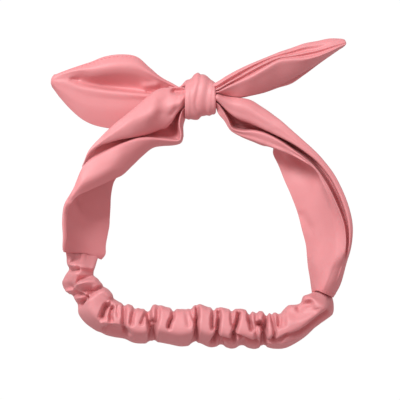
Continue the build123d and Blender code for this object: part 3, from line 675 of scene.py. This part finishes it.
# The folds of the gathered cloth: a line in plan, then depth, and width on its left and right.
# The first line carries two folds, a broad one and a narrow one.
UNDER_PUFF = [(-85, -119.5), (-80, -116.4), (-76, -114), (-71, -112.6), (-67, -111.8)]
CASING_FOLDS = [
    (UNDER_PUFF, 5.5, 7.0, 1.0),
    (UNDER_PUFF, 5.0, 3.6, 1.0),
    ([(-68, -103), (-77, -102)], 3.0, 3.0, 3.0),
    ([(-65, -102), (-67, -107)], 4, 4, 4),
    ([(-80.5, -100), (-77, -99.8)], 9, 2.4, 2.2),
    ([(-72, -97), (-74, -100.6), (-78, -103.2), (-80, -103.8)], -2.6, 1.8, 1.6),
    ([(-62, -110.6), (-66, -109.6), (-71, -108.2), (-76, -107)], 6.5, 2.2, 2.0),
    ([(-77, -107), (-80, -107.4), (-84, -107.4)], 4.0, 1.2, 1.2),
    ([(-64.5, -111.3), (-71, -112.2), (-76.5, -113.8), (-80, -117.3), (-82.5, -121.5)], 6.0, 1.2, 1.0),
    ([(-82, -120), (-78, -116), (-72, -114.3), (-66, -114.8), (-62, -116.6)], -1.4, 1.1, 1.4),
    ([(-82.5, -121.8), (-77, -119.8), (-69, -119.8)], 10.0, 2.2, 2.8),
    ([(-80, -122.6), (-79, -122.7), (-75, -122.9), (-71.5, -124.6)], 6.9, 1.1, 1.1),
    ([(-75.2, -128.3), (-74.5, -127.2), (-69.5, -123), (-65, -119.8), (-62, -118.6)], 7.8, 1.2, 1.6),
    ([(-62.5, -119.5), (-56.5, -124)], -1.8, 1.6, 1.6),
    ([(-58.4, -129.5), (-59, -130.5), (-60.5, -134), (-61.5, -136.5)], 12.0, 2.2, 1.4),
    ([(-56.8, -127.5), (-57.5, -128.5), (-58.8, -132.5), (-59.8, -136.5), (-61.5, -140)], -2.4, 0.8, 0.8),
    ([(-54.6, -131), (-55, -132), (-56, -136), (-55.5, -139)], 10.0, 1.1, 1.3),
    ([(-61, -144.6), (-57, -142.6), (-54, -142.2), (-50, -143)], 5.0, 1.0, 2.2),
    ([(-56, -145), (-50, -146.2), (-47, -147)], 5.0, 3.0, 2.0),
    ([(-51.4, -130), (-51.8, -133), (-51, -136)], 2.0, 0.9, 0.9),
    ([(-47.6, -129), (-47.8, -135), (-48.2, -140), (-48, -144), (-47, -147.5)], 8.0, 1.5, 1.0),
    ([(-41, -129.5), (-41.6, -132.5), (-42.7, -136), (-43.3, -140.5)], 5.7, 1.4, 0.9),
    ([(-34.4, -132), (-34.8, -134.5), (-36, -138), (-37, -140.5)], 4.8, 1.1, 0.8),
    ([(-32.6, -130), (-32.4, -136), (-31.2, -141), (-30.2, -146), (-30.4, -155)], 24.0, 1.4, 1.4),
    ([(-26.4, -130.5), (-26.6, -136), (-28, -142), (-29.4, -147)], 6.1, 1.2, 1.5),
    ([(-30.2, -140), (-30, -147), (-30.6, -153)], 18.0, 1.8, 1.8),
    ([(-17.4, -130), (-17.4, -133.5), (-18, -137), (-19.6, -140), (-20.2, -143)], 10.0, 1.3, 0.8),
    ([(-8.8, -131), (-8, -137), (-7.3, -141)], 2.2, 1.4, 1.8),
    ([(-6.6, -129), (-5.6, -134), (-4.4, -138)], 5.7, 1.3, 1.2),
    ([(-2.5, -130.5), (-2.3, -136), (-3, -140), (-2.8, -145), (-3.4, -150), (-5.6, -156)], 20.0, 1.2, 1.1),
    ([(7.8, -129.5), (7.6, -133), (7, -137), (6.8, -141), (7.3, -144)], 10.0, 1.2, 0.9),
    ([(11, -132.5), (11.3, -136), (10.7, -140), (10.4, -145), (9.8, -149), (7.5, -153)], 22.0, 1.0, 1.3),
    ([(12.6, -158), (12.6, -151)], 4.8, 1.6, 1.6),
    ([(18.8, -131.5), (18.8, -138), (19.3, -141.5)], 5.7, 1.4, 0.8),
    ([(9.5, -149.4), (14, -150.4), (18.5, -151.2)], 9.0, 0.7, 1.6),
    ([(23.4, -134), (23, -137), (22.3, -140), (21.3, -144), (20.3, -148), (20.7, -151.5)], 20.0, 0.9, 1.3),
    ([(20.6, -148), (24.5, -149), (27, -150), (30, -151.4), (35, -152.6)], 10.0, 0.7, 1.6),
    ([(24.6, -158), (26, -153)], 4.3, 2.0, 2.0),
    ([(29.7, -132), (29.6, -138), (30.6, -141), (31.4, -144.5)], 13.0, 1.1, 1.0),
    ([(34.4, -133.5), (34.2, -140), (34.3, -145), (34.5, -150.5)], 4.3, 0.9, 1.2),
    ([(40.6, -132), (39.8, -138), (39.4, -143), (38.9, -148), (38.4, -158)], 18.0, 1.2, 1.2),
    ([(36.2, -140.5), (38.2, -142), (39.2, -146), (38.6, -151)], 26.0, 1.4, 1.4),
    ([(43.5, -135), (44.5, -140), (45.5, -144), (45.5, -148), (44.4, -151)], 9.0, 1.1, 0.8),
    ([(48.5, -131.5), (48.7, -138), (48.4, -142)], 7.8, 1.2, 1.6),
    ([(60.5, -131), (64, -128.6), (67, -128.2)], 7.4, 2.0, 2.0),
    ([(51, -131), (59, -134.5), (69, -132)], 3.0, 2.2, 3.4),
    ([(50.8, -133), (51, -141)], 3.5, 1.6, 1.6),
    ([(79.5, -134.6), (73, -139.6), (65, -145.6), (57, -150.4), (50, -152.6)], -1.5, 1.0, 1.0),
    ([(80.6, -131), (77, -134.3), (73, -137), (65, -143.3), (61, -146), (57, -147.5), (53, -148),
      (47, -151.7), (42, -151.8)], 5.0, 0.9, 1.0),
    ([(68.5, -122), (72, -123.7), (75, -125.3), (78, -127), (80, -127.9)], 1.6, 0.9, 0.9),
]
# Where the casing is sewn to the hems: the top and the underside of its mouth, from the inner side.
LEFT_MOUTH = ([(-63, -98.8, 1.2), (-72, -95.4, 6.2), (-80, -95, 15.2), (-83.3, -94.8, 25.6)],
              [(-63.2, -98.8, 0.6), (-72.5, -95.4, 5.4), (-80.6, -95, 14.6), (-83.7, -94.8, 25.2)])
RIGHT_MOUTH = ([(69.8, -120, 2.4), (72, -118.4, 14.8), (76.6, -120, 17.8), (80.8, -122.6, 10.4)],
               [(70, -120, 2), (72.2, -118.4, 3), (76.6, -120, 4), (80.4, -122.6, 7)])
HEM_LAP = 1.0          # the rings as near as this to an end all lie at its mouth
HEM_REACH = 6.0        # how far past that the mouth rounds out into the tube
CASING_CUT = 19.75     # the station, in the deepest valley, where the two halves of the casing meet
RING_STEP = 0.55       # spacing of the casing's rings along its middle, in mm
RING_POINTS = 150      # how many points each ring has
CASING_GIRTH = 105     # the cloth's width round the casing, for its knit
FOLD_AIM = 1.5         # how far below a ring's mean point its folds draw the cloth
DEEPEST_FOLD = 15      # the most that the folds draw a point in
FOLD_POWER = 2.6       # how steep the folds' walls are
INNER_SIDEWAYS = 0.35  # how much of a fold's level movement the casing's inner side keeps
FOLD_FOOT = 6          # the height where the folds begin on the outer side
FOLD_RISE = 12         # and how far above that they reach their full depth


def closed_through(points, places):
    """A smooth closed curve through the points; places run from 0 to 1 round it."""
    count = len(points)
    around = list(points[-3:]) + list(points) + list(points[:4])
    return through(around, np.asarray(places) * count + 3)


def eased(share):
    """A share from 0 to 1, slow at both ends."""
    return share * share * (3 - 2 * share)


def casing_rings(start, end):
    """Rings of points round the casing, and the middle of each, between two stations."""
    inner, outer = np.array(CASING_INNER, float), np.array(CASING_OUTER, float)
    fine = np.linspace(0, len(inner) - 1, 1200)
    run = lengths((through(inner, fine) + through(outer, fine)) / 2)
    first, last = np.interp([start, end], fine, run)
    along = np.linspace(first, last, int((last - first) / RING_STEP))
    stations = np.interp(along, run, fine)
    a, b = through(inner, stations), through(outer, stations)
    section = closed_through(CASING_SECTION, np.linspace(0, 1, RING_POINTS, endpoint=False))
    share, height = section[:, 0], section[:, 1]
    plan = a[:, None] + (b - a)[:, None] * share[None, :, None]
    rings = np.concatenate([plan, np.broadcast_to(height, plan.shape[:2])[..., None]], axis=2)
    for mouth, distance in ((LEFT_MOUTH, along), (RIGHT_MOUTH, run[-1] - along)):
        over, under = (through(line, share * (len(line) - 1)) for line in mouth)
        flat = under + (over - under) * (height[:, None] / height.max())
        grown = eased(np.clip((distance - HEM_LAP) / HEM_REACH, 0, 1))[:, None, None]
        lifted = grown ** 2
        spread = flat[:, :2] * (1 - grown) + rings[..., :2] * grown
        rings = np.concatenate([spread, flat[:, 2:] * (1 - lifted) + rings[..., 2:] * lifted], axis=2)
    centres = np.broadcast_to(rings.mean(axis=1, keepdims=True) - np.array([0, 0, FOLD_AIM]), rings.shape)
    outer_side = share > 0.5
    kept = np.where(outer_side, eased(np.clip((rings[..., 2] - FOLD_FOOT) / FOLD_RISE, 0, 1)), 1)
    sideways = np.where(outer_side, 1, INNER_SIDEWAYS)
    rings = drawn_in(rings, CASING_FOLDS, centres, DEEPEST_FOLD, sideways, FOLD_POWER, kept)
    rings[1:-1] = (rings[:-2] + 2 * rings[1:-1] + rings[2:]) / 4
    rings = (np.roll(rings, 1, axis=1) + 2 * rings + np.roll(rings, -1, axis=1)) / 4
    return rings, centres, along


def tube_object(name, rings, centres, along, material, thick=JERSEY_LAYER):
    """A tube of cloth: the rings outside, the same rings drawn in by the cloth's thickness inside."""
    rows, columns = rings.shape[:2]
    inward = centres - rings
    inward = inward / np.maximum(np.linalg.norm(inward, axis=2, keepdims=True), 1e-6)
    lining = rings + inward * thick
    points = np.concatenate([rings.reshape(-1, 3), lining.reshape(-1, 3)])
    outside = grid_faces(rows, columns, wrap=True)
    inside = grid_faces(rows, columns, start=rows * columns, flip=True, wrap=True)
    rims = []
    for row, flip in ((0, False), (rows - 1, True)):
        for j in range(columns):
            k = (j + 1) % columns
            quad = [row * columns + j, (rows + row) * columns + j, (rows + row) * columns + k,
                    row * columns + k]
            rims.append(quad[::-1] if flip else quad)
    around = np.cumsum(np.full(columns, CASING_GIRTH / columns))
    uv = np.stack([np.repeat(along, columns), np.tile(around, rows)], axis=1)
    return make_object(name, points, outside + inside + rims, np.concatenate([uv, uv]), material)


# ---- making the pieces ---------------------------------------------------------------------------
SEAM_IN = 8            # an edge seam runs this many columns in, and a hem's stitches stop there
STRAP_SEAM = slice(4, -4)      # the rows of a strap's grid that its edge seam follows
TAIL_SEAM = slice(24, -10)     # and of a tail's grid, from outside the knot to near the tip
HEM_ROW = -7           # the row of the strap's grid that its hem's stitches follow
# The dents: a line in plan, then depth, and width on its left and right. A negative one is a ridge.
LEFT_STRAP_DENTS = [
    ([(-16.5, 3.1), (-11, 3.1)], 6.5, 1.9, 1.9),
    ([(-15.5, -8), (-18, -11.5)], 1.2, 1.8, 1.8),
    ([(-24.5, -4), (-25, -10)], 1.6, 3, 3),
    ([(-80, -73), (-76, -75.5)], 3.2, 2.4, 2.4),
    ([(-80, -66.5), (-75, -70), (-70, -76), (-65, -81), (-61, -85.5)], -1.4, 1.5, 2.2),
]
RIGHT_STRAP_DENTS = [
    ([(63, -74), (67.5, -81)], 1.2, 2.6, 3.4),
    ([(66.5, -103), (69, -109)], 1.1, 2.0, 2.6),
]
LEFT_TAIL_DENTS = [
    ([(-35, 6.2), (-28, 7)], -2, 2.2, 2.2),
    ([(-34, 2.8), (-27, 2.4)], 1.8, 0.7, 0.7),
    ([(-80, 10.5), (-76.5, 10.5)], 1.4, 1.2, 1.2),
]
RIGHT_TAIL_DENTS = [([(44, 5), (50, 7), (55, 9.5), (60, 12.5), (64, 14.7), (67, 16.4)], 1.2, 0.5, 0.5)]


def straps():
    """The two twisted ties between the knot and the hems, each with its edge seam and hem stitches."""
    for side, ribs, dents, turned in (("left", LEFT_STRAP, LEFT_STRAP_DENTS, -1),
                                      ("right", RIGHT_STRAP, RIGHT_STRAP_DENTS, 1)):
        grid = dented(smoothed(lofted(ribs), 2), dents, turned)
        strap = cloth_object(f"{side}_strap", grid, JERSEY, side=turned)
        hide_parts(f"{side}_strap_outer_panel", f"{side}_strap_inner_panel")
        seam = stitched(f"{side}_strap_edge_seam", grid[STRAP_SEAM, -SEAM_IN], THREAD)
        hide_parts(f"{side}_strap_edge_stitches")
        hem = stitched(f"{side}_hem_seam", grid[HEM_ROW, SEAM_IN:-SEAM_IN], THREAD)
        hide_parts(f"{side}_hem_stitches")
        for piece in (strap, seam, hem):
            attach(piece, "band")


def tails():
    """The two free ends of the knot, each with the seam along its upper edge."""
    for side, ribs, dents, turned, start, end in (
            ("left", LEFT_TAIL, LEFT_TAIL_DENTS, -1, (-11, 3, 9), (-22, 3, 9)),
            ("right", RIGHT_TAIL, RIGHT_TAIL_DENTS, 1, (10.5, 5, 22), (22, 8, 22))):
        grid = dented(smoothed(lofted(ribs), 2), dents, turned)
        tail = cloth_object(f"{side}_tail", grid, JERSEY, side=turned)
        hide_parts(f"{side}_tail_front_panel", f"{side}_tail_back_panel")
        seam = stitched(f"{side}_tail_seam", grid[TAIL_SEAM, -SEAM_IN], THREAD)
        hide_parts(f"{side}_tail_seam_stitches")
        for piece in (tail, seam):
            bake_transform(piece)


def knot():
    """The pleated turn of the knot, and the loop of the tie that enters it from behind."""
    wrap = cloth_object("knot_turn", knot_grid(), JERSEY)
    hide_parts("knot_wrap", "knot_core")
    loop = cloth_object("knot_loop", smoothed(lofted(KNOT_LOOP), 2), JERSEY)
    for piece in (wrap, loop):
        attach(piece, "band")


# ---- the elastic and the casing's pieces ---------------------------------------------------------
ELASTIC_LOW, ELASTIC_HIGH = 2.2, 17.8
ELASTIC_INSET = 9.0        # how far from the hem the elastic ends
ELASTIC_STEP = 0.8         # spacing of the elastic's points along it
SPINE_SMOOTHING = 9        # how many of them its line is smoothed over
ELASTIC_HALF = 0.55        # half the elastic's thickness, at its ribs' middle height
ELASTIC_RIBS = 8
RIB_HEIGHT = 0.2           # how far a rib stands out from that, and a groove lies in
RIPPLE, RIPPLE_TURN = 0.12, 1.3    # how far the elastic's line waves, and how fast, in radians a point
TACK_POINTS = 15           # the corners of the tack's zigzag
TACK_RISE = 1.15           # how much higher each is than the last
TACK_FOOT = 1.5            # how far above the elastic's lower edge the first lies
TACK_OUT = 0.75            # how far from the elastic's middle its thread lies
SEAM_COLUMN = 92           # the ring point that the casing's own seam follows, low on its outer side


def elastic_spine(centres, side):
    """The middle line of the elastic in one half of the casing, smoothed and seen from above."""
    line = centres if side == "left" else centres[::-1]
    run = lengths(line)
    count = int((run[-1] - ELASTIC_INSET) / ELASTIC_STEP)
    line = respaced(line, np.linspace(ELASTIC_INSET, run[-1], count))
    reach = SPINE_SMOOTHING // 2
    padded = np.pad(line[:, :2], ((reach, reach), (0, 0)), mode="edge")
    kernel = np.ones(SPINE_SMOOTHING) / SPINE_SMOOTHING
    plan = np.stack([np.convolve(column, kernel, "valid") for column in padded.T], axis=1)
    return plan if side == "left" else plan[::-1]


def elastic_half(name, centres, side):
    """One half of the woven elastic, on edge inside the casing: eight ribs run its whole length."""
    plan = elastic_spine(centres, side)
    across = np.stack([-np.gradient(plan[:, 1]), np.gradient(plan[:, 0])], axis=1)
    across = across / np.linalg.norm(across, axis=1, keepdims=True)
    heights = np.linspace(ELASTIC_LOW, ELASTIC_HIGH, 6 * ELASTIC_RIBS + 1)
    ribs = ELASTIC_HALF + RIB_HEIGHT * np.cos(np.linspace(0, 2 * ELASTIC_RIBS * math.pi, len(heights)))
    ribs[[0, -1]] = 0
    profile = [(rib, height) for rib, height in zip(ribs, heights)]
    profile += [(-rib, height) for rib, height in zip(ribs[-2:0:-1], heights[-2:0:-1])]
    wave = RIPPLE * np.sin(np.arange(len(plan)) * RIPPLE_TURN)
    rings = [[(*(plan[i] + across[i] * (out + wave[i])), height) for out, height in profile]
             for i in range(len(plan))]
    rings = np.array(rings)
    rows, columns = rings.shape[:2]
    caps = [list(range(columns))[::-1], list(range((rows - 1) * columns, rows * columns))]
    uvs = np.stack([np.repeat(np.arange(rows) * ELASTIC_STEP, columns), rings[..., 2].ravel()], axis=1)
    faces = grid_faces(rows, columns, wrap=True) + caps
    return make_object(name, rings.reshape(-1, 3), faces, uvs, ELASTIC)


def elastic_tack(name, centres, side):
    """The zigzag of thread that holds the end of the elastic: across it and back, up its height."""
    plan = elastic_spine(centres, side)
    plan = plan if side == "left" else plan[::-1]
    outward = np.array([-(plan[4] - plan[0])[1], (plan[4] - plan[0])[0]])
    outward = outward / np.linalg.norm(outward)
    path = []
    for k in range(TACK_POINTS):
        across = plan[4] if k % 2 else plan[1]
        path.append((*(across + outward * TACK_OUT), ELASTIC_LOW + TACK_FOOT + k * TACK_RISE))
    fine = through(path, np.linspace(0, TACK_POINTS - 1, 200))
    return stitched(name, fine, THREAD, length=1.9, gap=0.1, thick=0.22)


def casing():
    """The gathered casing in two halves, which meet in its deepest valley."""
    last = len(CASING_INNER) - 1
    halves = (("left", 0, CASING_CUT, LEFT_MOUTH), ("right", CASING_CUT, last, RIGHT_MOUTH))
    for side, start, end, mouth in halves:
        rings, centres, along = casing_rings(start, end)
        half = tube_object(f"{side}_casing", rings, centres, along, JERSEY)
        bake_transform(half)
        nodes = ("casing_left",) if side == "left" else ("casing_right", "casing_middle")
        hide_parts(*nodes)
        seam = stitched(f"{side}_casing_seam", rings[2:-2, SEAM_COLUMN], THREAD)
        if side == "left":
            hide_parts("casing_seam_stitches")
        band = elastic_half(f"{side}_elastic", centres[:, 0], side)
        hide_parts(*(("elastic_left",) if side == "left" else ("elastic_middle", "elastic_right")))
        for piece in (seam, band):
            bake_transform(piece)
        tack = elastic_tack(f"{side}_tack", centres[:, 0], side)
        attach(tack, "band")
        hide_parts(f"{side}_elastic_tack")


def camera():
    """The photograph's view: from straight above, up the page along +Y."""
    data = bpy.data.cameras.new("camera")
    data.sensor_width = 36
    data.lens = 578        # 250 mm of the table from 4 m up
    view = bpy.data.objects.new("camera", data)
    view.location = place((-0.63, -64.3, 4000))
    bpy.context.collection.objects.link(view)
    bpy.context.scene.camera = view


def area_light(name, point, target, size, energy):
    """A square soft light at a place, facing another, both in rib millimetres."""
    data = bpy.data.lights.new(name, "AREA")
    data.size = size
    data.energy = energy
    light = bpy.data.objects.new(name, data)
    light.location = place(point)
    ahead = Vector(place(target)) - Vector(place(point))
    light.rotation_euler = ahead.to_track_quat("-Z", "Y").to_euler()
    bpy.context.collection.objects.link(light)


def stage():
    """A plain white floor that lights nothing, a pink-tinted world, and a soft key from the upper left."""
    material = bpy.data.materials.new("pale_floor")
    material.use_nodes = True
    shader = material.node_tree.nodes["Principled BSDF"]
    shader.inputs["Base Color"].default_value = (0.02, 0.02, 0.02, 1)
    shader.inputs["Roughness"].default_value = 1
    shader.inputs["Specular IOR Level"].default_value = 0
    shader.inputs["Emission Color"].default_value = (1, 1, 1, 1)
    shader.inputs["Emission Strength"].default_value = 1.0
    bpy.ops.mesh.primitive_plane_add(size=40.0, location=place((0, -64, -0.1)))
    floor = bpy.context.object
    floor.name = "floor"
    floor.data.materials.append(material)
    floor.visible_diffuse = False
    floor.visible_glossy = False
    world = bpy.data.worlds.new("world")
    world.use_nodes = True
    world.node_tree.nodes["Background"].inputs["Color"].default_value = (1, 0.73, 0.74, 1)
    world.node_tree.nodes["Background"].inputs["Strength"].default_value = 0.56
    bpy.context.scene.world = world
    area_light("key", (-520, 640, 1000), (0, -64, 10), size=0.35, energy=13.8)
    bpy.context.scene.view_settings.view_transform = "Standard"


camera()
stage()
straps()
tails()
knot()
casing()
